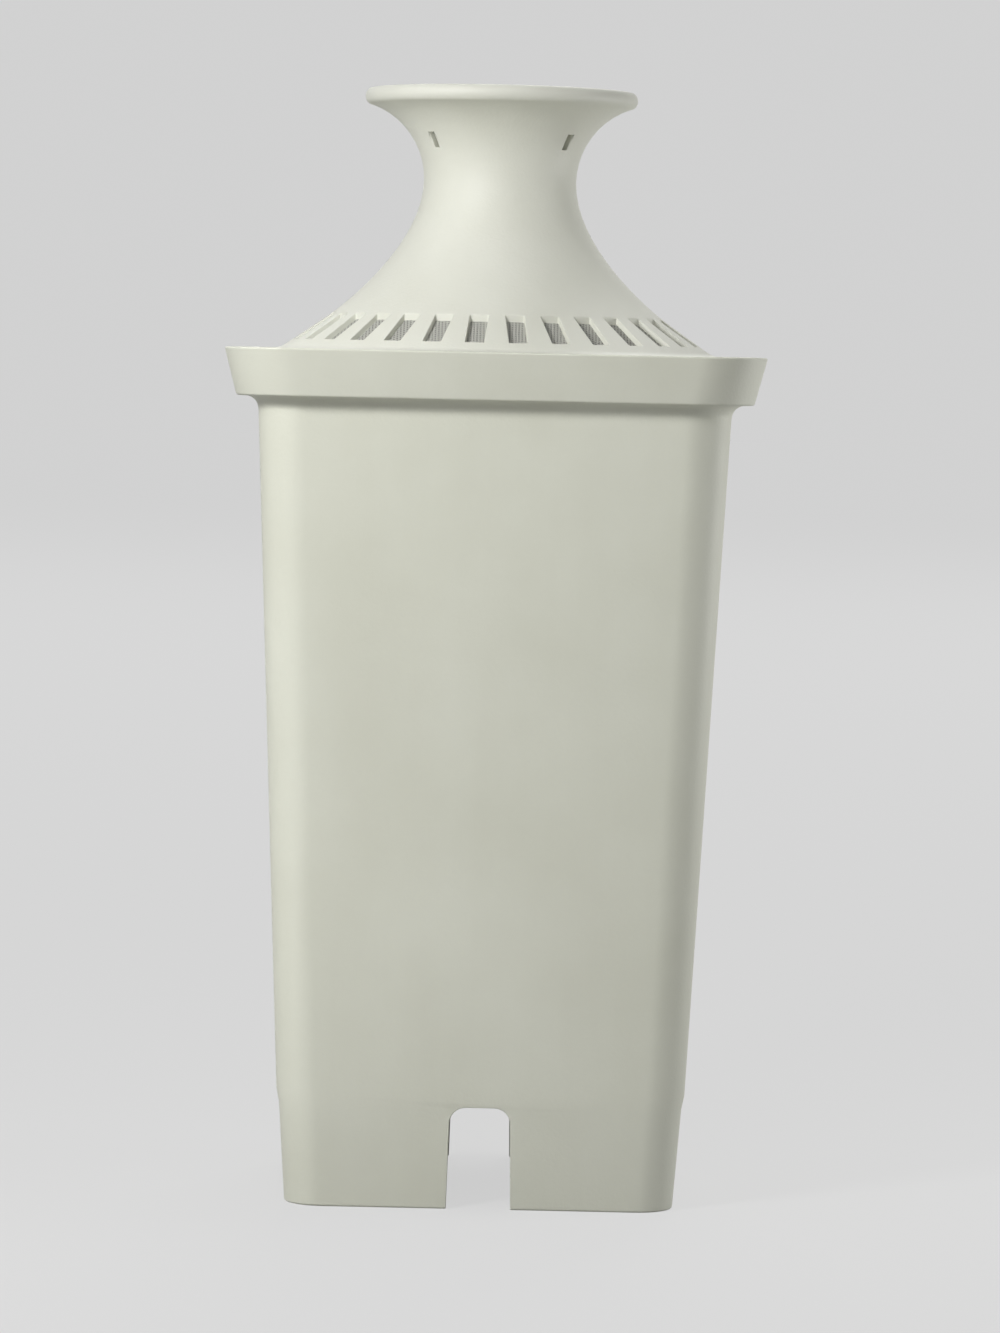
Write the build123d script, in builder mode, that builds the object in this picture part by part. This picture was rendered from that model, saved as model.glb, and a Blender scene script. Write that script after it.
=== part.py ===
import os
from math import atan2, degrees, radians, tan

from build123d import *

# A water pitcher filter cartridge, standing on the foot of its skirt. Millimetres, +Z up.
# The front faces -Y and the origin is the centre of the foot.

# Plan outline of the body, just under the collar
body_half_width = 26.65
body_half_depth = 24.4
corner_radius = 5.0

# Heights of the housing above its foot
step_height = 12.2
floor_height = 12.0
seat_height = 91.6
collar_height = 5.4

# Housing walls, with tapers in degrees
body_taper = 2.5
skirt_taper = 3.9
step_depth = 0.22
wall = 1.2
floor_thickness = 1.5
shelf_thickness = 1.5
collar_wall = 1.4
collar_overhang = 2.45
collar_flare = 1.35
collar_root_radius = 1.5
collar_edge_chamfer = 0.25

# Notches in the front and back of the skirt, which end a little under the floor
notch_drop = 0.3
notch_foot_width = 7.3
notch_top_width = 6.8
notch_corner_radius = 1.8

# Drain slots in the floor, with margins to the sides and ends of the hollow under it
drain_count = 8
drain_rows = 2
drain_width = 2.2
drain_rib = 3.0
drain_side_margin = 4.4
drain_end_margin = 3.7

# Plate of the cap and the rib that it stands on
cap_clearance = 0.15
plate_thickness = 1.6
rib_thickness = 1.3

# Cone and neck of the cap, with a ledge round the foot and heights above the collar
cone_ledge = 1.55
cone_foot_chamfer = 0.4
band_width = 5.2
band_slope = 34.6
band_pull = 3.6
neck_pull = 7.0
waist_radius = 8.8
waist_rise = 19.7
cone_wall = 1.5

# The curves of the cone and flare are turned in short straight steps
cone_steps = 6
flare_steps = 6
hollow_steps = 3

# Round rim that the cartridge is pulled by
rim_radius = 15.75
rim_rise = 30.15
rim_thickness = 1.85
rim_chamfer = 0.55
rim_lip = 2.4
dish_slope_width = 3.8
dish_depth = 2.0
roof_thickness = 1.6

# Inlet slots round the foot of the cone, and vents high in the neck
slot_count = 30
slot_ledge = 1.6
slot_length = 3.5
slot_width = 2.1
vent_angles = (-140, -40, 40, 140)
vent_drop = 1.2
vent_height = 1.6
vent_width = 1.0

# Screens and the bed of granules between them
screen_thickness = 0.4
screen_clearance = 0.3
bed_clearance = 0.1
headspace = 9.0

# How far a cut runs on past the face that it opens
cut_margin = 1.0

# Heights that follow
collar_top = seat_height + collar_height
shelf_height = seat_height + shelf_thickness
notch_height = floor_height - notch_drop
floor_top = floor_height + floor_thickness
rib_foot = shelf_height + screen_thickness
plate_underside = collar_top - plate_thickness
waist_height = collar_top + waist_rise
rim_top = collar_top + rim_rise
roof_height = rim_top - dish_depth - roof_thickness

# Radii that follow. The round foot of the cone stands inside the nearer edges of the plate.
cap_inset = collar_wall + cap_clearance
plate_growth = collar_overhang + collar_flare - cap_inset
cone_foot_radius = min(body_half_width, body_half_depth) + plate_growth - cone_ledge
band_top_radius = cone_foot_radius - band_width
slot_outer_radius = cone_foot_radius - slot_ledge
dish_radius = rim_radius - rim_chamfer - rim_lip
dish_floor_radius = dish_radius - dish_slope_width

# Growth of the plan outline, from the body's own at the collar, and the lean of the collar
step_growth = (step_height - seat_height) * tan(radians(body_taper))
skirt_growth = step_growth - step_depth
foot_growth = skirt_growth - step_height * tan(radians(skirt_taper))
hollow_growth = foot_growth - wall
collar_lean = degrees(atan2(collar_flare, collar_height))
collar_corner = corner_radius + collar_overhang

# The field of drain slots, inside the hollow of the skirt
drain_field_width = 2 * (body_half_width + hollow_growth - drain_side_margin)
drain_field_depth = 2 * (body_half_depth + hollow_growth - drain_end_margin)
drain_pitch = (drain_field_width - drain_width) / (drain_count - 1)
drain_row_pitch = (drain_field_depth + drain_rib) / drain_rows


# A block from a foot up to a top, with leaning sides and rounded corners.
# Its outline at the given height is the body's own, grown outwards all round.
def leaning_block(foot, top, height, growth, lean, corner):
    with BuildPart() as block:
        with BuildSketch(Plane.XY.offset(foot)):
            Rectangle(2 * (body_half_width + growth), 2 * (body_half_depth + growth))
        extrude(amount=top - foot)
        sides = block.faces().filter_by(Axis.Z, reverse=True)
        draft(sides, neutral_plane=Plane.XY.offset(height), angle=-lean)
        corner_edges = block.edges() - block.faces().filter_by(Axis.Z).edges()
        fillet(corner_edges, radius=corner)
    return block.part


# A block that follows the outside of the body, or of the collar, from some way inside it
def body_block(foot, top, inset):
    return leaning_block(foot, top, seat_height, -inset, body_taper, corner_radius - inset)


def collar_block(foot, top, inset):
    growth = collar_overhang - inset
    return leaning_block(foot, top, seat_height, growth, collar_lean, collar_corner - inset)


os.makedirs("parts", exist_ok=True)

# Solid forms that the housing is made of, and those that hollow it
outer_skirt = leaning_block(0, step_height, step_height, skirt_growth, skirt_taper, corner_radius)
outer_body = body_block(step_height, seat_height, 0)
outer_collar = collar_block(seat_height, collar_top, 0)
skirt_hollow = leaning_block(-cut_margin, floor_height, 0, hollow_growth, 0, corner_radius - wall)
body_cavity = body_block(floor_top, shelf_height + cut_margin, wall)
cap_seat = collar_block(shelf_height, collar_top + cut_margin, collar_wall)

# Housing: a moulded cup with a flared collar, a slotted floor and a notched skirt
with BuildPart() as housing:
    add([outer_skirt, outer_body, outer_collar])
    # The root of the collar is rounded and its outer edges are broken
    underside = housing.faces().filter_by(Axis.Z).sort_by(Axis.Z)[-2]
    fillet(underside.inner_wires()[0].edges(), radius=collar_root_radius)
    underside, top_face = housing.faces().filter_by(Axis.Z).sort_by(Axis.Z)[-2:]
    chamfer(underside.outer_wire().edges() + top_face.edges(), length=collar_edge_chamfer)
    add([body_cavity, cap_seat, skirt_hollow], mode=Mode.SUBTRACT)
    # Notches through the front and back of the skirt
    with BuildSketch(Plane.XZ) as notch:
        with BuildLine():
            Polyline(
                (-notch_foot_width / 2, -cut_margin),
                (-notch_foot_width / 2, 0),
                (-notch_top_width / 2, notch_height),
                (notch_top_width / 2, notch_height),
                (notch_foot_width / 2, 0),
                (notch_foot_width / 2, -cut_margin),
                close=True,
            )
        make_face()
        fillet(notch.vertices().group_by(Axis.Y)[-1], radius=notch_corner_radius)
    extrude(amount=body_half_depth, both=True, mode=Mode.SUBTRACT)
    # Drain slots through the floor
    with BuildSketch(Plane.XY.offset(floor_height)):
        with GridLocations(drain_pitch, drain_row_pitch, drain_count, drain_rows):
            Rectangle(drain_width, drain_row_pitch - drain_rib)
    extrude(amount=floor_thickness, mode=Mode.SUBTRACT)
housing.part.label = "housing"
export_step(housing.part, "parts/housing.step")


# A point on the inner face of the cap's wall, square in from a point of its outer line
def inside(line, share):
    return line @ share + (line % share).rotate(Axis.Z, 90) * cone_wall


# Plate of the cap, which fits the seat, and the hollow under it that leaves its rib
cap_plate = collar_block(rib_foot, collar_top, cap_inset)
plate_hollow = collar_block(rib_foot - cut_margin, plate_underside, cap_inset + rib_thickness)

# Cap: plate, slotted cone, hollow neck and rim in one moulding
with BuildPart() as cap:
    add(cap_plate)
    add(plate_hollow, mode=Mode.SUBTRACT)
    # Outside of the cone, neck and rim, turned about the axis
    band_top_height = collar_top + band_width * tan(radians(band_slope))
    rim_underside = rim_top - rim_thickness
    with BuildSketch(Plane.XZ):
        with BuildLine():
            band = Line((cone_foot_radius, collar_top), (band_top_radius, band_top_height))
            cone = Bezier(
                band @ 1,
                band @ 1 + (band % 1) * band_pull,
                (waist_radius, waist_height - neck_pull),
                (waist_radius, waist_height),
                mode=Mode.PRIVATE,
            )
            flare = TangentArc(
                cone @ 1,
                (rim_radius - rim_chamfer, rim_underside),
                tangent=cone % 1,
                mode=Mode.PRIVATE,
            )
            Polyline(*[cone @ (step / cone_steps) for step in range(cone_steps + 1)])
            Polyline(*[flare @ (step / flare_steps) for step in range(flare_steps + 1)])
            Polyline(
                flare @ 1,
                (rim_radius, rim_underside + rim_chamfer),
                (rim_radius, rim_top - rim_chamfer),
                (rim_radius - rim_chamfer, rim_top),
                (dish_radius, rim_top),
                (dish_floor_radius, rim_top - dish_depth),
                (0, rim_top - dish_depth),
                (0, plate_underside),
                (cone_foot_radius, plate_underside),
                band @ 0,
            )
        make_face()
    revolve(axis=Axis.Z)
    foot_edges = cap.edges().filter_by(GeomType.CIRCLE).filter_by_position(Axis.Z, collar_top, collar_top)
    chamfer(foot_edges.sort_by(SortBy.LENGTH)[-1], length=cone_foot_chamfer)
    # Inside of the cone and neck, one wall in from the outside
    hollow_foot = inside(band, 0)
    mouth_radius = hollow_foot.X + (hollow_foot.Y - plate_underside) / tan(radians(band_slope))
    bore_radius = waist_radius - cone_wall
    with BuildSketch(Plane.XZ):
        with BuildLine():
            Polyline(
                (mouth_radius, plate_underside),
                *[inside(cone, step / hollow_steps) for step in range(hollow_steps + 1)],
                (bore_radius, roof_height),
                (0, roof_height),
                (0, plate_underside),
                close=True,
            )
        make_face()
    revolve(axis=Axis.Z, mode=Mode.SUBTRACT)
    # Ring of inlet slots, with one half a pitch to each side of the front
    first_angle = 180 / slot_count - 90
    with BuildSketch(Plane.XY.offset(plate_underside)):
        with PolarLocations(slot_outer_radius - slot_length / 2, slot_count, start_angle=first_angle):
            Rectangle(slot_length, slot_width)
    extrude(amount=waist_rise, mode=Mode.SUBTRACT)
    # Vents at the top of the neck's hollow
    vent_top = roof_height - vent_drop
    with Locations(*[Location((0, 0, vent_top), (0, 0, angle)) for angle in vent_angles]):
        Box(
            rim_radius,
            vent_width,
            vent_height,
            align=(Align.MIN, Align.CENTER, Align.MAX),
            mode=Mode.SUBTRACT,
        )
cap.part.label = "cap"
export_step(cap.part, "parts/cap.step")

# Upper screen: a flat sheet on the shelf, held down by the cap's rib
upper_inset = collar_wall + screen_clearance
with BuildPart() as upper_screen:
    add(collar_block(shelf_height, shelf_height + screen_thickness, upper_inset))
upper_screen.part.label = "upper_screen"
export_step(upper_screen.part, "parts/upper_screen.step")

# Lower screen: a flat sheet on the floor, over the drain slots
lower_inset = wall + screen_clearance
with BuildPart() as lower_screen:
    add(body_block(floor_top, floor_top + screen_thickness, lower_inset))
lower_screen.part.label = "lower_screen"
export_step(lower_screen.part, "parts/lower_screen.step")

# Filter media: the bed of granules on the lower screen
bed_foot = floor_top + screen_thickness
bed_top = shelf_height - headspace
with BuildPart() as filter_media:
    add(body_block(bed_foot, bed_top, wall + bed_clearance))
filter_media.part.label = "filter_media"
export_step(filter_media.part, "parts/filter_media.step")
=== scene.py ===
import math

import bpy
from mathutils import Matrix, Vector


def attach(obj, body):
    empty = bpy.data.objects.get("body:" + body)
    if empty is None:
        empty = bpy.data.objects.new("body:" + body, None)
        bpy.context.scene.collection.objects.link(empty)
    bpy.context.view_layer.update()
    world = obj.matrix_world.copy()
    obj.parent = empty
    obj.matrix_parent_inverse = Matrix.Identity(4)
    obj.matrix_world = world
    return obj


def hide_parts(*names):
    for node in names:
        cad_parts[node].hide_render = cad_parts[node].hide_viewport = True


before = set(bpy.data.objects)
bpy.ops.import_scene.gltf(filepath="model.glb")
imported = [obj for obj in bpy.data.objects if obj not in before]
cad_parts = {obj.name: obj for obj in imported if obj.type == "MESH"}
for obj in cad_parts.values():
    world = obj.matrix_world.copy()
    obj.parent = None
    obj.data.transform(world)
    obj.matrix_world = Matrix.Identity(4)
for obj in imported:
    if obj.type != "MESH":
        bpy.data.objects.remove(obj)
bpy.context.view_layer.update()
print("frame loaded:", sorted(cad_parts))

# sizes of the pieces are in millimetres, and the scene is in metres
mm = 0.001
meshSet = {
    "levelNormal": 0.9,  # a face counts as level when its normal is this upright
    "offOutline": 0.1,  # how far off an outline a point may be and still count as on it
    "offHeight": 0.01,
    "mergeWithin": 0.005,
    "cornerSteps": 12,
    "cutterSteps": 3,
    "softSteps": 3,
    "softAngle": 50,  # degrees, and sharper edges than this are softened
    "smoothAngle": 40,  # degrees, and flatter edges than this are shaded smooth
    "reach": 1,  # how far a cutter or a buried foot goes past the face it meets
}


def deselectAll():
    if bpy.context.mode != "OBJECT":
        bpy.ops.object.mode_set(mode="OBJECT")
    bpy.ops.object.select_all(action="DESELECT")


def selectOnly(piece):
    deselectAll()
    piece.select_set(True)
    bpy.context.view_layer.objects.active = piece


def applyPlace(piece):
    # moves the place, turn and scale of a piece into its mesh
    selectOnly(piece)
    bpy.ops.object.transform_apply(location=True, rotation=True, scale=True)


def pickFaces(piece, test):
    # stays in edit mode with the faces selected whose centre and normal pass the test
    bpy.ops.object.mode_set(mode="EDIT")
    bpy.ops.mesh.select_mode(type="FACE")
    bpy.ops.mesh.select_all(action="DESELECT")
    bpy.ops.object.mode_set(mode="OBJECT")
    for face in piece.data.polygons:
        face.select = bool(test(face.center, face.normal))
    bpy.ops.object.mode_set(mode="EDIT")


def facesUp(centre, normal):
    return normal.z > meshSet["levelNormal"]


def facesDown(centre, normal):
    return normal.z < -meshSet["levelNormal"]


def pickEdges(piece, test):
    # stays in edit mode with the edges selected whose two ends pass the test
    bpy.ops.object.mode_set(mode="EDIT")
    bpy.ops.mesh.select_mode(type="EDGE")
    bpy.ops.mesh.select_all(action="DESELECT")
    bpy.ops.object.mode_set(mode="OBJECT")
    points = piece.data.vertices
    for edge in piece.data.edges:
        edge.select = bool(test(points[edge.vertices[0]].co, points[edge.vertices[1]].co))
    bpy.ops.object.mode_set(mode="EDIT")


def selectedHalf(piece):
    # half width, half depth and height of what is selected
    bpy.ops.object.mode_set(mode="OBJECT")
    chosen = [point.co for point in piece.data.vertices if point.select]
    bpy.ops.object.mode_set(mode="EDIT")
    return max(co.x for co in chosen), max(co.y for co in chosen), chosen[0].z


def roundEdges(radius, steps):
    # rounds the selected edges
    bpy.ops.mesh.bevel(offset=radius * mm, offset_type="OFFSET", segments=steps, affect="EDGES")


def faceOutwards():
    # turns all faces outwards, and leaves edit mode
    bpy.ops.mesh.select_all(action="SELECT")
    bpy.ops.mesh.normals_make_consistent(inside=False)
    bpy.ops.object.mode_set(mode="OBJECT")


def extrudeTo(piece, half, height):
    # pulls the selected level face to a new height and a new half width and half depth
    wasX, wasY, wasZ = selectedHalf(piece)
    bpy.ops.mesh.extrude_region_move(TRANSFORM_OT_translate={"value": (0, 0, height * mm - wasZ)})
    stretch = (half[0] * mm / wasX, half[1] * mm / wasY, 1)
    bpy.ops.transform.resize(value=stretch, center_override=(0, 0, height * mm))


def addBlock(name, foot, footHalf, top, topHalf, corner):
    # an upright block with rounded corners, and with its own outline at the foot and at the top
    deselectAll()
    bpy.ops.mesh.primitive_cube_add(
        size=2,
        location=(0, 0, (foot + top) / 2 * mm),
        scale=(footHalf[0] * mm, footHalf[1] * mm, (top - foot) / 2 * mm),
    )
    block = bpy.context.active_object
    block.name = name
    applyPlace(block)
    pickFaces(block, facesUp)
    stretch = (topHalf[0] / footHalf[0], topHalf[1] / footHalf[1], 1)
    bpy.ops.transform.resize(value=stretch, center_override=(0, 0, top * mm))
    pickEdges(block, lambda a, b: abs(a.z - b.z) > (top - foot) / 2 * mm)
    roundEdges(corner, meshSet["cornerSteps"])
    bpy.ops.object.mode_set(mode="OBJECT")
    return block


def addRing(name, radius, height, around, fill="NGON"):
    deselectAll()
    bpy.ops.mesh.primitive_circle_add(
        vertices=around, radius=radius * mm, fill_type=fill, location=(0, 0, height * mm)
    )
    ring = bpy.context.active_object
    ring.name = name
    applyPlace(ring)
    return ring


def addTurned(name, points, around):
    # a solid of round outline, pulled up ring by ring from its foot, as radius and height
    turned = addRing(name, *points[0], around)
    bpy.ops.object.mode_set(mode="EDIT")
    bpy.ops.mesh.select_mode(type="FACE")
    bpy.ops.mesh.select_all(action="SELECT")
    for radius, height in points[1:]:
        extrudeTo(turned, (radius, radius), height)
    faceOutwards()
    return turned


def addSlotCutter(name, place, size, corner):
    # a bar that cuts one slot, with its upright edges a little rounded
    deselectAll()
    bpy.ops.mesh.primitive_cube_add(
        size=1, location=[value * mm for value in place], scale=[value * mm for value in size]
    )
    bar = bpy.context.active_object
    bar.name = name
    applyPlace(bar)
    pickEdges(bar, lambda a, b: abs(a.z - b.z) > size[2] / 2 * mm)
    roundEdges(corner, meshSet["cutterSteps"])
    bpy.ops.object.mode_set(mode="OBJECT")
    return bar


def addCopy(piece, shift=(0, 0, 0), turn=0):
    # a copy with its own mesh, shifted in millimetres and turned about the upright axis in degrees
    twin = piece.copy()
    twin.data = piece.data.copy()
    bpy.context.scene.collection.objects.link(twin)
    twin.location = [value * mm for value in shift]
    twin.rotation_euler.z = math.radians(turn)
    applyPlace(twin)
    return twin


def joinAll(pieces):
    # one piece of them all, under the name of the first
    deselectAll()
    for piece in pieces:
        piece.select_set(True)
    bpy.context.view_layer.objects.active = pieces[0]
    bpy.ops.object.join()
    return bpy.context.active_object


def cutOrJoin(piece, tool, operation):
    # one Boolean, applied at once, after which the tool is deleted
    selectOnly(piece)
    step = piece.modifiers.new(operation.lower(), "BOOLEAN")
    step.operation = operation
    step.solver = "EXACT"
    step.object = tool
    bpy.ops.object.modifier_apply(modifier=step.name)
    bpy.data.objects.remove(tool)


def tidyMesh(piece):
    # merges doubles and turns the faces outwards
    selectOnly(piece)
    bpy.ops.object.mode_set(mode="EDIT")
    bpy.ops.mesh.select_mode(type="VERT")
    bpy.ops.mesh.select_all(action="SELECT")
    bpy.ops.mesh.remove_doubles(threshold=meshSet["mergeWithin"] * mm)
    faceOutwards()


def softenEdges(piece, width):
    # moulded edges are never quite sharp
    selectOnly(piece)
    soft = piece.modifiers.new("soften", "BEVEL")
    soft.width = width * mm
    soft.segments = meshSet["softSteps"]
    soft.limit_method = "ANGLE"
    soft.angle_limit = math.radians(meshSet["softAngle"])
    soft.use_clamp_overlap = False
    bpy.ops.object.modifier_apply(modifier=soft.name)


def smoothFaces(piece):
    # smooth over the curves, with the broad walls kept flat
    selectOnly(piece)
    bpy.ops.object.shade_smooth_by_angle(angle=math.radians(meshSet["smoothAngle"]))
    even = piece.modifiers.new("even", "WEIGHTED_NORMAL")
    even.keep_sharp = True
    bpy.ops.object.modifier_apply(modifier=even.name)


cameraSet = {
    "eye": (0.0, -0.6, 0.0977),  # in metres, level with the collar
    "aim": (0.00121, 0.0, 0.06047),
    "lens": 139.46,
    "sensorWidth": 36,
    "roll": 1.25,  # degrees, because the cartridge leans a little clockwise in its picture
}


def makeCamera():
    data = bpy.data.cameras.new("photoCamera")
    camera = bpy.data.objects.new("photoCamera", data)
    bpy.context.scene.collection.objects.link(camera)
    eye, aim = Vector(cameraSet["eye"]), Vector(cameraSet["aim"])
    camera.location = eye
    camera.rotation_euler = (aim - eye).to_track_quat("-Z", "Y").to_euler()
    camera.rotation_euler.rotate_axis("Z", math.radians(cameraSet["roll"]))
    data.lens = cameraSet["lens"]
    data.sensor_width = cameraSet["sensorWidth"]
    data.dof.use_dof = False
    bpy.context.scene.camera = camera


makeCamera()
print("camera placed")


def newMaterial(name):
    # a material with one plain shader in it, and the parts that its pattern needs
    material = bpy.data.materials.new(name)
    material.use_nodes = True
    nodes = material.node_tree.nodes
    links = material.node_tree.links
    nodes.clear()
    output = nodes.new("ShaderNodeOutputMaterial")
    shader = nodes.new("ShaderNodeBsdfPrincipled")
    links.new(shader.outputs["BSDF"], output.inputs["Surface"])
    coords = nodes.new("ShaderNodeTexCoord")
    return material, nodes, links, shader, coords


def noiseNode(nodes, links, coords, scale, detail, stretch=(1, 1, 1)):
    # noise on the object's own coordinates, in features to the metre
    spread = nodes.new("ShaderNodeMapping")
    spread.inputs["Scale"].default_value = stretch
    links.new(coords.outputs["Object"], spread.inputs["Vector"])
    noise = nodes.new("ShaderNodeTexNoise")
    noise.inputs["Scale"].default_value = scale
    noise.inputs["Detail"].default_value = detail
    links.new(spread.outputs["Vector"], noise.inputs["Vector"])
    return noise


def rampNode(nodes, links, source, stops):
    # stops are places from 0 to 1 with their colours
    ramp = nodes.new("ShaderNodeValToRGB")
    first, last = ramp.color_ramp.elements
    first.position, first.color = stops[0][0], (*stops[0][1], 1)
    last.position, last.color = stops[-1][0], (*stops[-1][1], 1)
    for place, colour in stops[1:-1]:
        ramp.color_ramp.elements.new(place).color = (*colour, 1)
    links.new(source, ramp.inputs["Fac"])
    return ramp


def spanNode(nodes, links, source, low, high, newLow, newHigh):
    span = nodes.new("ShaderNodeMapRange")
    span.inputs["From Min"].default_value = low
    span.inputs["From Max"].default_value = high
    span.inputs["To Min"].default_value = newLow
    span.inputs["To Max"].default_value = newHigh
    links.new(source, span.inputs["Value"])
    return span


def mathNode(nodes, links, operation, first, second=None):
    # the second value is a number or another node's output
    step = nodes.new("ShaderNodeMath")
    step.operation = operation
    links.new(first, step.inputs[0])
    if isinstance(second, (int, float)):
        step.inputs[1].default_value = second
    elif second:
        links.new(second, step.inputs[1])
    return step.outputs[0]


def bumpNode(nodes, links, source, distance, strength, under=None):
    # distance is in metres, and a coarser bump may lie under this one
    bump = nodes.new("ShaderNodeBump")
    bump.inputs["Distance"].default_value = distance
    bump.inputs["Strength"].default_value = strength
    links.new(source, bump.inputs["Height"])
    if under:
        links.new(under.outputs["Normal"], bump.inputs["Normal"])
    return bump


def paint(piece, material):
    piece.data.materials.clear()
    piece.data.materials.append(material)


def paintNode(name, material):
    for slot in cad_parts[name].material_slots:
        slot.material = material


plasticSet = {
    # pale and deep tone
    "housing": ((0.720, 0.728, 0.628), (0.672, 0.678, 0.576)),
    "cap": ((0.745, 0.750, 0.672), (0.700, 0.704, 0.620)),
    # scale and detail of each noise
    "cloud": (60, 5),  # soft clouds a centimetre or two across
    "flow": (190, 3),  # faint streaks up the walls, left by the flow in the mould
    "wave": (36, 2),  # broad walls that are not quite flat
    "grain": (2400, 2),  # fine matt grain of the mould
    "flowStretch": (1, 1, 0.12),
    "flowShare": 0.35,
    "span": (0.48, 0.86),  # noise at the deep and at the pale tone
    "rough": (0.48, 0.62),
    # distance and strength of each bump
    "waveBump": (0.0006, 0.25),
    "grainBump": (0.00004, 0.6),
    "refraction": 1.49,
}


def makePlastic(name, tones):
    pale, deep = tones
    low, high = plasticSet["span"]
    material, nodes, links, shader, coords = newMaterial(name)
    cloud = noiseNode(nodes, links, coords, *plasticSet["cloud"])
    flow = noiseNode(nodes, links, coords, *plasticSet["flow"], plasticSet["flowStretch"])
    both = mathNode(nodes, links, "MULTIPLY", flow.outputs["Fac"], plasticSet["flowShare"])
    both = mathNode(nodes, links, "ADD", cloud.outputs["Fac"], both)
    tint = rampNode(nodes, links, both, [(low, deep), (high, pale)])
    links.new(tint.outputs["Color"], shader.inputs["Base Color"])
    rough = spanNode(nodes, links, both, low, high, *plasticSet["rough"])
    links.new(rough.outputs["Result"], shader.inputs["Roughness"])
    wave = noiseNode(nodes, links, coords, *plasticSet["wave"])
    grain = noiseNode(nodes, links, coords, *plasticSet["grain"])
    soft = bumpNode(nodes, links, wave.outputs["Fac"], *plasticSet["waveBump"])
    fine = bumpNode(nodes, links, grain.outputs["Fac"], *plasticSet["grainBump"], soft)
    links.new(fine.outputs["Normal"], shader.inputs["Normal"])
    shader.inputs["IOR"].default_value = plasticSet["refraction"]
    return material


weaveSet = {
    # pitch of the threads in millimetres, their tone and the tone between them
    "wovenScreen": (0.5, (0.80, 0.80, 0.77), (0.22, 0.21, 0.19)),
    # the strainer's weave is darker than the woven screen's: painted shade, standing in for the
    # shade inside the inlet slots
    "paintedShadeStrainerWeave": (0.36, (0.46, 0.46, 0.42), (0.10, 0.10, 0.09)),
    "span": (0.45, 0.75),  # weave height at the tone of the gap and at that of the thread
    "bump": (0.00012, 0.8),
    "rough": 0.85,
}


def makeWovenScreen(name):
    # threads that cross along both level directions
    pitch, thread, gap = weaveSet[name]
    low, high = weaveSet["span"]
    material, nodes, links, shader, coords = newMaterial(name)
    split = nodes.new("ShaderNodeSeparateXYZ")
    links.new(coords.outputs["Object"], split.inputs["Vector"])
    threads = []
    perMetre = math.pi / (pitch * mm)
    for axis in ("X", "Y"):
        turn = mathNode(nodes, links, "MULTIPLY", split.outputs[axis], perMetre)
        wave = mathNode(nodes, links, "SINE", turn)
        threads.append(mathNode(nodes, links, "ABSOLUTE", wave))
    weave = mathNode(nodes, links, "MAXIMUM", threads[0], threads[1])
    tint = rampNode(nodes, links, weave, [(low, gap), (high, thread)])
    links.new(tint.outputs["Color"], shader.inputs["Base Color"])
    bump = bumpNode(nodes, links, weave, *weaveSet["bump"])
    links.new(bump.outputs["Normal"], shader.inputs["Normal"])
    shader.inputs["Roughness"].default_value = weaveSet["rough"]
    return material


granuleSet = {
    "scale": 1100,  # granules to the metre
    "dark": (0.012, 0.011, 0.010),
    "grey": (0.05, 0.047, 0.043),
    "bead": (0.42, 0.33, 0.17),
    "greyShare": 0.68,  # of the granules, up to here from dark to grey
    "beadShare": 0.74,  # and from here on beads
    "crownReach": 0.6,
    "bump": (0.0004, 0.9),
    "rough": (0.45, 0.8),
}


def makeGranules():
    # dark granules with some pale beads among them
    material, nodes, links, shader, coords = newMaterial("carbonAndBeads")
    cells = nodes.new("ShaderNodeTexVoronoi")
    cells.inputs["Scale"].default_value = granuleSet["scale"]
    links.new(coords.outputs["Object"], cells.inputs["Vector"])
    split = nodes.new("ShaderNodeSeparateColor")
    links.new(cells.outputs["Color"], split.inputs["Color"])
    stops = [
        (0.0, granuleSet["dark"]),
        (granuleSet["greyShare"], granuleSet["grey"]),
        (granuleSet["beadShare"], granuleSet["bead"]),
        (1.0, granuleSet["bead"]),
    ]
    tint = rampNode(nodes, links, split.outputs["Red"], stops)
    links.new(tint.outputs["Color"], shader.inputs["Base Color"])
    reach = granuleSet["crownReach"]
    crown = spanNode(nodes, links, cells.outputs["Distance"], 0.0, reach, 1.0, 0.0)
    bump = bumpNode(nodes, links, crown.outputs["Result"], *granuleSet["bump"])
    links.new(bump.outputs["Normal"], shader.inputs["Normal"])
    rough = spanNode(nodes, links, split.outputs["Green"], 0.0, 1.0, *granuleSet["rough"])
    links.new(rough.outputs["Result"], shader.inputs["Roughness"])
    return material


housingPlastic = makePlastic("housingPlastic", plasticSet["housing"])
capPlastic = makePlastic("capPlastic", plasticSet["cap"])
wovenScreen = makeWovenScreen("wovenScreen")
# a darker copy of the woven screen, as painted shade in the inlet slots
paintedShadeStrainerWeave = makeWovenScreen("paintedShadeStrainerWeave")
carbonAndBeads = makeGranules()
paintNode("upper_screen", wovenScreen)
paintNode("lower_screen", wovenScreen)
paintNode("filter_media", carbonAndBeads)
print("materials made")


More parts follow.
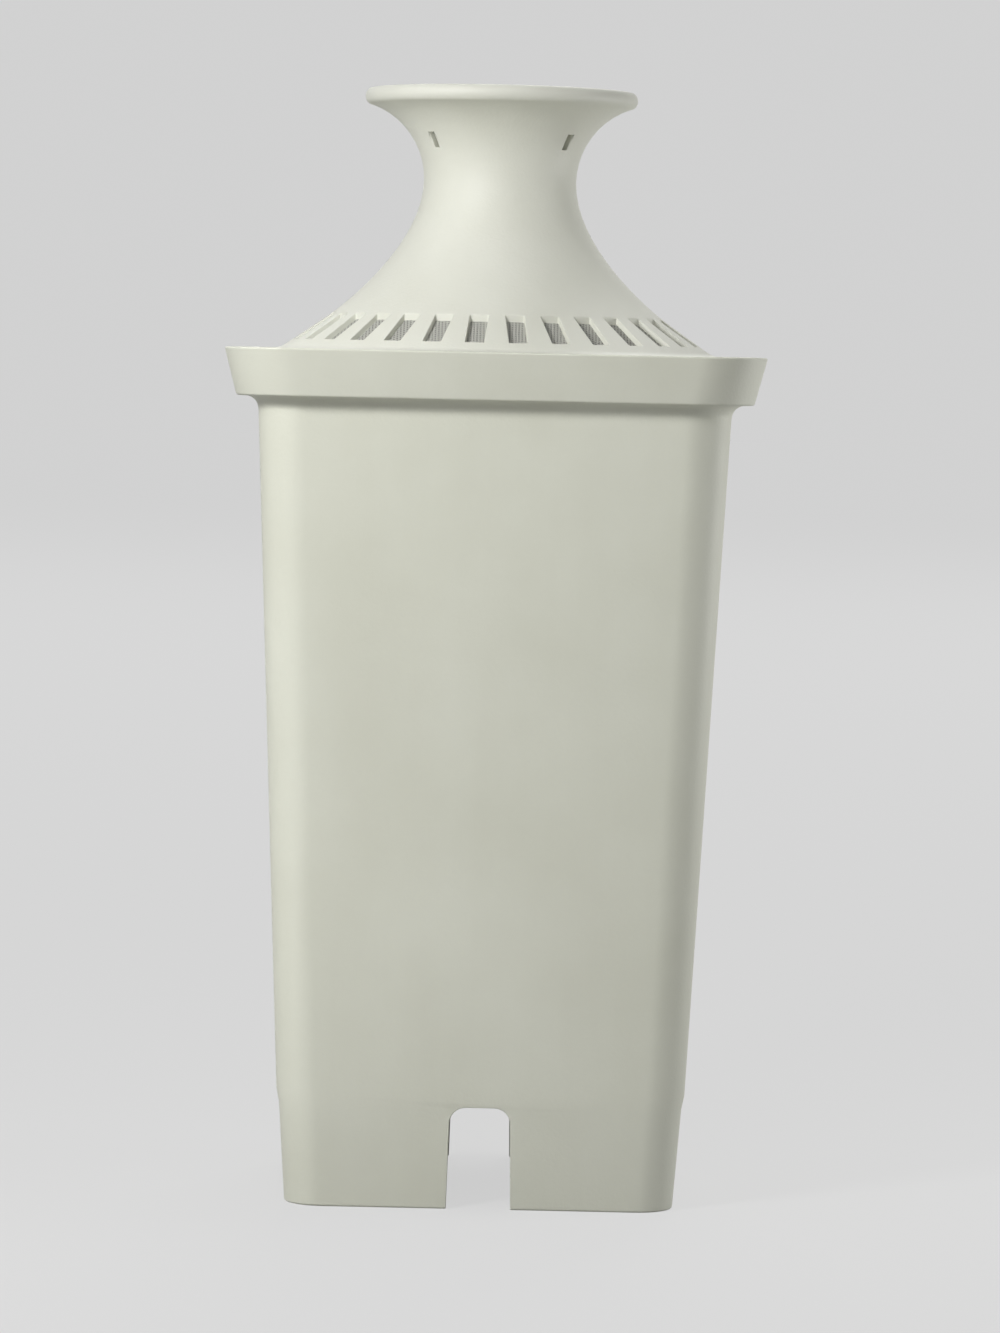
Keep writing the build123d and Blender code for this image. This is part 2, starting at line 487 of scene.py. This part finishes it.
housingSet = {
    "bodyHalf": (26.65, 24.4),  # plan outline of the body just under the collar
    "bodyCorner": 5.0,
    "bodyTaper": 2.5,  # degrees
    "skirtTaper": 3.9,
    "stepHeight": 12.2,
    "stepDepth": 0.22,
    "stepEase": 0.8,  # the step is eased over this much above and below
    "floorHeight": 12.0,
    "floorThickness": 1.5,
    "seatHeight": 91.6,
    "shelfThickness": 1.5,
    "collarHeight": 5.4,
    "collarOverhang": 2.45,
    "collarFlare": 1.35,
    "collarWall": 1.4,
    "rootRadius": 1.5,
    "rootSteps": 6,
    "wall": 1.2,
    "softEdge": 0.26,
    "cutEdge": 0.1,  # edges of the notches and slots
}
notchSet = {"footWidth": 7.3, "topWidth": 6.8, "height": 11.7, "corner": 1.8, "steps": 8}
drainSet = {
    "count": 8,
    "rows": 2,
    "width": 2.2,
    "rib": 3.0,
    "sideMargin": 4.4,
    "endMargin": 3.7,
    "corner": 0.3,
}

collarTop = housingSet["seatHeight"] + housingSet["collarHeight"]


def bodyHalf(height, inset=0):
    # half width and half depth of the body at a height, from some way inside its outer face
    drop = housingSet["seatHeight"] - height
    inset += drop * math.tan(math.radians(housingSet["bodyTaper"]))
    return [half - inset for half in housingSet["bodyHalf"]]


def skirtHalf(height, inset=0):
    drop = housingSet["stepHeight"] - height
    inset += drop * math.tan(math.radians(housingSet["skirtTaper"]))
    return bodyHalf(housingSet["stepHeight"], housingSet["stepDepth"] + inset)


def collarHalf(height, inset=0):
    lean = housingSet["collarFlare"] / housingSet["collarHeight"]
    growth = housingSet["collarOverhang"] + (height - housingSet["seatHeight"]) * lean
    return [half + growth - inset for half in housingSet["bodyHalf"]]


def onBodyOutline(point, height):
    # true for a point on the body's rounded outline at a height
    corner = housingSet["bodyCorner"]
    halfX, halfY = bodyHalf(height)
    overX = max(abs(point.x) / mm - (halfX - corner), 0)
    overY = max(abs(point.y) / mm - (halfY - corner), 0)
    off = math.hypot(overX, overY) - corner
    level = abs(point.z / mm - height) < meshSet["offHeight"]
    return abs(off) < meshSet["offOutline"] and level


def onCollarTop(centre, normal):
    return facesUp(centre, normal) and centre.z > (collarTop - meshSet["offOutline"]) * mm


def insetBy(width):
    # a ledge round the selected level face
    bpy.ops.mesh.inset(thickness=width * mm, depth=0)


def makeHousing():
    seat, wall = housingSet["seatHeight"], housingSet["wall"]
    corner = housingSet["bodyCorner"] + housingSet["collarOverhang"]
    topHalf = collarHalf(collarTop)
    shell = addBlock("cartridgeHousing", seat, collarHalf(seat), collarTop, topHalf, corner)
    # body, eased step and skirt, pulled down from the underside of the collar
    pickFaces(shell, facesDown)
    insetBy(housingSet["collarOverhang"])
    stepTop = housingSet["stepHeight"] + housingSet["stepEase"]
    stepFoot = housingSet["stepHeight"] - housingSet["stepEase"]
    extrudeTo(shell, bodyHalf(stepTop), stepTop)
    extrudeTo(shell, skirtHalf(stepFoot), stepFoot)
    extrudeTo(shell, skirtHalf(0), 0)
    # hollow of the skirt, up to the floor
    insetBy(wall)
    extrudeTo(shell, skirtHalf(0, wall), housingSet["floorHeight"])
    # seat of the cap, shelf of the screen, and the cavity of the body
    pickFaces(shell, onCollarTop)
    insetBy(housingSet["collarWall"])
    shelf = seat + housingSet["shelfThickness"]
    seatHalf = collarHalf(shelf, housingSet["collarWall"])
    extrudeTo(shell, seatHalf, shelf)
    insetBy(seatHalf[0] - bodyHalf(shelf, wall)[0])
    floorTop = housingSet["floorHeight"] + housingSet["floorThickness"]
    extrudeTo(shell, bodyHalf(floorTop, wall), floorTop)
    # rounded root under the collar
    pickEdges(shell, lambda a, b: onBodyOutline(a, seat) and onBodyOutline(b, seat))
    roundEdges(housingSet["rootRadius"], housingSet["rootSteps"])
    bpy.ops.object.mode_set(mode="OBJECT")
    tidyMesh(shell)
    return shell


def cutNotches(shell):
    # one bar through the front and the back, with its two upper edges rounded
    height, depth = notchSet["height"], housingSet["bodyHalf"][1]
    half, narrowing = notchSet["footWidth"] / 2, notchSet["topWidth"] / notchSet["footWidth"]
    deselectAll()
    bpy.ops.mesh.primitive_cube_add(
        size=2, location=(0, 0, height / 2 * mm), scale=(half * mm, depth * mm, height / 2 * mm)
    )
    bar = bpy.context.active_object
    applyPlace(bar)
    pickFaces(bar, facesUp)
    bpy.ops.transform.resize(value=(narrowing, 1, 1), center_override=(0, 0, height * mm))
    pickEdges(bar, lambda a, b: min(a.z, b.z) > height / 2 * mm and abs(a.y - b.y) > depth * mm)
    roundEdges(notchSet["corner"], notchSet["steps"])
    pickFaces(bar, facesDown)
    below = (0, 0, -meshSet["reach"] * mm)
    bpy.ops.mesh.extrude_region_move(TRANSFORM_OT_translate={"value": below})
    bpy.ops.object.mode_set(mode="OBJECT")
    cutOrJoin(shell, bar, "DIFFERENCE")


def cutDrainSlots(shell):
    # rows of slots, spread over the hollow's roof between its margins
    halfX, halfY = skirtHalf(0, housingSet["wall"])
    rows, count, rib = drainSet["rows"], drainSet["count"], drainSet["rib"]
    pitch = (2 * (halfX - drainSet["sideMargin"]) - drainSet["width"]) / (count - 1)
    rowPitch = (2 * (halfY - drainSet["endMargin"]) + rib) / rows
    middle = housingSet["floorHeight"] + housingSet["floorThickness"] / 2
    size = (drainSet["width"], rowPitch - rib, 2 * housingSet["floorThickness"])
    bar = addSlotCutter("drainSlot", (0, 0, middle), size, drainSet["corner"])
    bars = []
    for row in range(rows):
        for column in range(count):
            shift = ((column - (count - 1) / 2) * pitch, (row - (rows - 1) / 2) * rowPitch, 0)
            bars.append(addCopy(bar, shift))
    bpy.data.objects.remove(bar)
    cutOrJoin(shell, joinAll(bars), "DIFFERENCE")


housing = makeHousing()
softenEdges(housing, housingSet["softEdge"])
cutNotches(housing)
cutDrainSlots(housing)
softenEdges(housing, housingSet["cutEdge"])
smoothFaces(housing)
paint(housing, housingPlastic)
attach(housing, "root")
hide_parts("housing")
print("housing made:", len(housing.data.polygons), "faces")


capSet = {
    "clearance": 0.15,  # between the plate and the wall of its seat
    "screen": 0.4,  # thickness of the screen under the rib
    "plateThickness": 1.6,
    "ribThickness": 1.3,
    "footRadius": 25.1,
    "footBlend": 0.7,
    "bandWidth": 5.2,  # the band is the straight foot of the cone, measured along the radius
    "bandSlope": 34.6,  # degrees
    "bandPull": 3.6,  # this and the next are the handles of the curve from the band to the waist
    "neckPull": 7.0,
    "waistRadius": 8.8,
    "waistRise": 19.7,  # this and the rim's rise are above the collar
    "wall": 1.5,
    "rimRadius": 15.75,
    "rimRise": 30.15,
    "rimThickness": 1.85,
    "rimNose": 0.75,
    "rimLip": 2.2,
    "dishSlope": 3.8,
    "dishDepth": 2.0,
    "roofThickness": 1.6,
    "around": 180,
    "blendSteps": 3,
    "curveSteps": 16,
    "flareSteps": 10,
    "noseSteps": 8,
    "hollowSteps": 12,
    "hollowNear": 0.01,  # share of the curve over which its direction is taken
    "softEdge": 0.2,
    "cutEdge": 0.1,
}
slotSet = {
    "count": 30,
    "ledge": 1.6,  # from the foot of the cone to the slots, along the radius
    "length": 4.4,
    "width": 2.1,
    "corner": 0.15,
    "cutterLift": 1,  # middle of the cutter, above the collar
    "cutterHeight": 10,
    "frontTurn": -90,  # degrees, to the middle of the front
}
ventSet = {
    "angles": (-140, -40, 40, 140),  # degrees
    "drop": 1.55,
    "height": 1.75,
    "width": 0.8,
    "corner": 0.15,
}
strainerSet = {"depth": 0.75, "thickness": 0.25, "margin": 0.6}

waistHeight = collarTop + capSet["waistRise"]
rimTop = collarTop + capSet["rimRise"]
roofHeight = rimTop - capSet["dishDepth"] - capSet["roofThickness"]
plateUnderside = collarTop - capSet["plateThickness"]
bandAngle = math.radians(capSet["bandSlope"])
bandFoot = Vector((capSet["footRadius"], collarTop))
bandLine = Vector((-math.cos(bandAngle), math.sin(bandAngle)))  # up the band
bandSide = Vector((bandLine.y, -bandLine.x))  # square to the band, away from the cone


def coneCurve():
    # four control points of the hollow-sided cone, as radius and height
    low = bandFoot + bandLine * (capSet["bandWidth"] / -bandLine.x)
    top = Vector((capSet["waistRadius"], waistHeight))
    return low, low + bandLine * capSet["bandPull"], top - Vector((0, capSet["neckPull"])), top


def curvePoint(controls, share):
    a, b, c, d = controls
    rest = 1 - share
    return a * rest**3 + b * 3 * rest**2 * share + c * 3 * rest * share**2 + d * share**3


def flarePoints(steps):
    # an arc that leaves the waist upright and reaches the underside of the rim
    reach = capSet["rimRadius"] - capSet["rimNose"] - capSet["waistRadius"]
    rise = capSet["rimRise"] - capSet["rimThickness"] - capSet["waistRise"]
    radius = (reach**2 + rise**2) / (2 * reach)
    end = math.atan2(rise, radius - reach)
    points = []
    for step in range(1, steps + 1):
        angle = end * step / steps
        out, up = radius * (1 - math.cos(angle)), radius * math.sin(angle)
        points.append((capSet["waistRadius"] + out, waistHeight + up))
    return points


def rimPoints(steps):
    # the round nose of the rim, its lip and the dish inside it
    nose, half = capSet["rimNose"], capSet["rimThickness"] / 2
    noseRadius = capSet["rimRadius"] - nose
    points = []
    for step in range(1, steps + 1):
        angle = math.pi * (step / steps - 0.5)
        points.append((noseRadius + nose * math.cos(angle), rimTop - half + half * math.sin(angle)))
    dishRadius = noseRadius - capSet["rimLip"]
    points.append((dishRadius, rimTop))
    points.append((dishRadius - capSet["dishSlope"], rimTop - capSet["dishDepth"]))
    return points


def outsidePoints():
    # from inside the plate up over the small blend at the foot of the cone, to the dish
    foot, blend = capSet["footRadius"], capSet["footBlend"]
    points = [(foot + blend, collarTop - meshSet["reach"]), (foot + blend, collarTop)]
    steps = capSet["blendSteps"]
    for step in range(1, steps + 1):
        share = step / steps
        out = blend * (1 - share) ** 2 + blend * bandLine.x * share**2
        points.append((foot + out, collarTop + blend * bandLine.y * share**2))
    curve, steps = coneCurve(), capSet["curveSteps"]
    points += [tuple(curvePoint(curve, step / steps)) for step in range(steps + 1)]
    return points + flarePoints(capSet["flareSteps"]) + rimPoints(capSet["noseSteps"])


def insidePoints():
    # one wall in from the outside, from under the plate up to the roof of the neck
    curve, steps, near = coneCurve(), capSet["hollowSteps"], capSet["hollowNear"]
    foot = bandFoot - bandSide * capSet["wall"]
    start = foot + bandLine * ((plateUnderside - meshSet["reach"] - foot.y) / bandLine.y)
    points = [tuple(start)]
    for step in range(steps + 1):
        share = step / steps
        after, before = min(share + near, 1), max(share - near, 0)
        ahead = curvePoint(curve, after) - curvePoint(curve, before)
        side = Vector((-ahead.y, ahead.x)).normalized()
        points.append(tuple(curvePoint(curve, share) + side * capSet["wall"]))
    points.append((capSet["waistRadius"] - capSet["wall"], roofHeight))
    return points


def makeCap():
    cone = addTurned("cartridgeCap", outsidePoints(), capSet["around"])
    # plate that fills the seat, on a rib that holds the screen down
    inset = housingSet["collarWall"] + capSet["clearance"]
    corner = housingSet["bodyCorner"] + housingSet["collarOverhang"] - inset
    ribFoot = housingSet["seatHeight"] + housingSet["shelfThickness"] + capSet["screen"]
    footHalf, topHalf = collarHalf(ribFoot, inset), collarHalf(collarTop, inset)
    plate = addBlock("plate", ribFoot, footHalf, collarTop, topHalf, corner)
    cutOrJoin(cone, plate, "UNION")
    inset += capSet["ribThickness"]
    corner -= capSet["ribThickness"]
    under = ribFoot - meshSet["reach"]
    footHalf, topHalf = collarHalf(under, inset), collarHalf(plateUnderside, inset)
    hollow = addBlock("plateHollow", under, footHalf, plateUnderside, topHalf, corner)
    cutOrJoin(cone, hollow, "DIFFERENCE")
    cutOrJoin(cone, addTurned("coneHollow", insidePoints(), capSet["around"]), "DIFFERENCE")
    return cone


def cutInletSlots(cone):
    # one slot at the foot of the cone, copied round it, half a pitch to each side of the front
    middle = capSet["footRadius"] - slotSet["ledge"] - slotSet["length"] / 2
    place = (middle, 0, collarTop + slotSet["cutterLift"])
    size = (slotSet["length"], slotSet["width"], slotSet["cutterHeight"])
    bar = addSlotCutter("inletSlot", place, size, slotSet["corner"])
    count, front = slotSet["count"], slotSet["frontTurn"]
    bars = [addCopy(bar, turn=(number + 0.5) * 360 / count + front) for number in range(count)]
    bpy.data.objects.remove(bar)
    cutOrJoin(cone, joinAll(bars), "DIFFERENCE")


def cutVents(cone):
    # small vents at the top of the neck's hollow
    height = roofHeight - ventSet["drop"] - ventSet["height"] / 2
    size = (capSet["waistRadius"], ventSet["width"], ventSet["height"])
    bar = addSlotCutter("vent", (capSet["waistRadius"], 0, height), size, ventSet["corner"])
    bars = [addCopy(bar, turn=angle) for angle in ventSet["angles"]]
    bpy.data.objects.remove(bar)
    cutOrJoin(cone, joinAll(bars), "DIFFERENCE")


def makeStrainer():
    # woven ring that is moulded into the wall of the cone, behind the inlet slots
    foot = bandFoot - bandSide * strainerSet["depth"]
    outer = slotSet["ledge"] - strainerSet["margin"]
    inner = slotSet["ledge"] + slotSet["length"] + strainerSet["margin"]
    low = foot + bandLine * (outer / -bandLine.x)
    high = foot + bandLine * (inner / -bandLine.x)
    ring = addRing("slotStrainer", *low, capSet["around"], "NOTHING")
    bpy.ops.object.mode_set(mode="EDIT")
    bpy.ops.mesh.select_mode(type="EDGE")
    bpy.ops.mesh.select_all(action="SELECT")
    extrudeTo(ring, (high.x, high.x), high.y)
    faceOutwards()
    sheet = ring.modifiers.new("sheet", "SOLIDIFY")
    sheet.thickness = strainerSet["thickness"] * mm
    sheet.offset = 0
    bpy.ops.object.modifier_apply(modifier=sheet.name)
    return ring


cap = makeCap()
print("cap turned:", len(cap.data.polygons), "faces")
softenEdges(cap, capSet["softEdge"])
cutInletSlots(cap)
cutVents(cap)
softenEdges(cap, capSet["cutEdge"])
smoothFaces(cap)
paint(cap, capPlastic)
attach(cap, "root")
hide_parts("cap")
print("cap made:", len(cap.data.polygons), "faces")

strainer = makeStrainer()
smoothFaces(strainer)
# painted shade: the strainer's darker weave stands in for the shade inside the slots
paint(strainer, paintedShadeStrainerWeave)
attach(strainer, "root")
print("strainer made:", len(strainer.data.polygons), "faces")


stageSet = {
    "floorRadius": 5000,
    "floorSides": 96,
    "floorTone": 0.28,
    "floorRough": 0.95,
    "seenTone": 1.0,  # even tone that the camera's rays find on the floor
    "seenShare": 0.6,  # how much of it is mixed in
    "world": 0.37,
}
lightSet = {
    # place and aim in metres, size in metres, power in watts, spread in degrees
    "keyLight": ((-0.100, -0.140, 0.160), (0, 0, 0.08), 0.045, 0.210, 180),
    "frontLight": ((0.02, -0.44, 0.24), (0, 0, 0.08), 0.12, 0.07, 180),
    "lowLight": ((-0.15, -0.12, 0.005), (-0.02, -0.02, 0.015), 0.06, 0.012, 60),
    "sideLight": ((0.16, 0.015, 0.075), (0, 0, 0.09), 0.06, 0.080, 180),
    "backLight": ((0.20, 1.30, 1.30), (0, 0, 0.08), 0.90, 9.0, 180),
}


def mixWithSeen(nodes, links, lit, seenTone, share):
    # rays from the camera, reflections and glass find an even tone in it, and light does not
    kinds = nodes.new("ShaderNodeLightPath").outputs
    rays = mathNode(nodes, links, "ADD", kinds["Is Camera Ray"], kinds["Is Glossy Ray"])
    rays = mathNode(nodes, links, "ADD", rays, kinds["Is Transmission Ray"])
    rays = mathNode(nodes, links, "MINIMUM", rays, 1.0)
    weight = mathNode(nodes, links, "MULTIPLY", rays, share)
    mix = nodes.new("ShaderNodeMixShader")
    links.new(weight, mix.inputs["Fac"])
    links.new(lit, mix.inputs[1])
    links.new(seenTone, mix.inputs[2])
    return mix.outputs[0]


def makeFloor():
    # a wide pale table, with the object's own shadow on it
    floor = addRing("paleTable", stageSet["floorRadius"], 0, stageSet["floorSides"])
    material, nodes, links, shader, _ = newMaterial("palePaper")
    shader.inputs["Base Color"].default_value = (*[stageSet["floorTone"]] * 3, 1)
    shader.inputs["Roughness"].default_value = stageSet["floorRough"]
    shader.inputs["Specular IOR Level"].default_value = 0.0
    even = nodes.new("ShaderNodeEmission")
    even.inputs["Color"].default_value = (*[stageSet["seenTone"]] * 3, 1)
    output = next(node for node in nodes if node.type == "OUTPUT_MATERIAL")
    lit, seen = shader.outputs["BSDF"], even.outputs[0]
    mixed = mixWithSeen(nodes, links, lit, seen, stageSet["seenShare"])
    links.new(mixed, output.inputs["Surface"])
    paint(floor, material)


def addDiscLight(name):
    place, aim, size, power, spread = lightSet[name]
    data = bpy.data.lights.new(name, "AREA")
    data.shape = "DISK"
    data.size = size
    data.energy = power
    data.spread = math.radians(spread)
    lamp = bpy.data.objects.new(name, data)
    bpy.context.scene.collection.objects.link(lamp)
    lamp.location = place
    lamp.rotation_euler = (Vector(aim) - Vector(place)).to_track_quat("-Z", "Y").to_euler()
    lamp.visible_camera = False


def makeWorld():
    # even light, which the camera sees as pale as the far edge of the table, so no horizon shows
    world = bpy.data.worlds.new("studioWorld")
    bpy.context.scene.world = world
    world.use_nodes = True
    nodes, links = world.node_tree.nodes, world.node_tree.links
    nodes.clear()
    output = nodes.new("ShaderNodeOutputWorld")
    plain = nodes.new("ShaderNodeBackground")
    plain.inputs["Color"].default_value = (1, 1, 1, 1)
    plain.inputs["Strength"].default_value = stageSet["world"]
    far = (1 - stageSet["seenShare"]) * stageSet["floorTone"] * stageSet["world"]
    far += stageSet["seenShare"] * stageSet["seenTone"]
    seen = nodes.new("ShaderNodeBackground")
    seen.inputs["Color"].default_value = (far, far, far, 1)
    seen.inputs["Strength"].default_value = 1.0
    mixed = mixWithSeen(nodes, links, plain.outputs[0], seen.outputs[0], 1.0)
    links.new(mixed, output.inputs["Surface"])


makeFloor()
for name in lightSet:
    addDiscLight(name)
makeWorld()
bpy.context.scene.view_settings.view_transform = "Standard"
print("floor, lights and surroundings made")
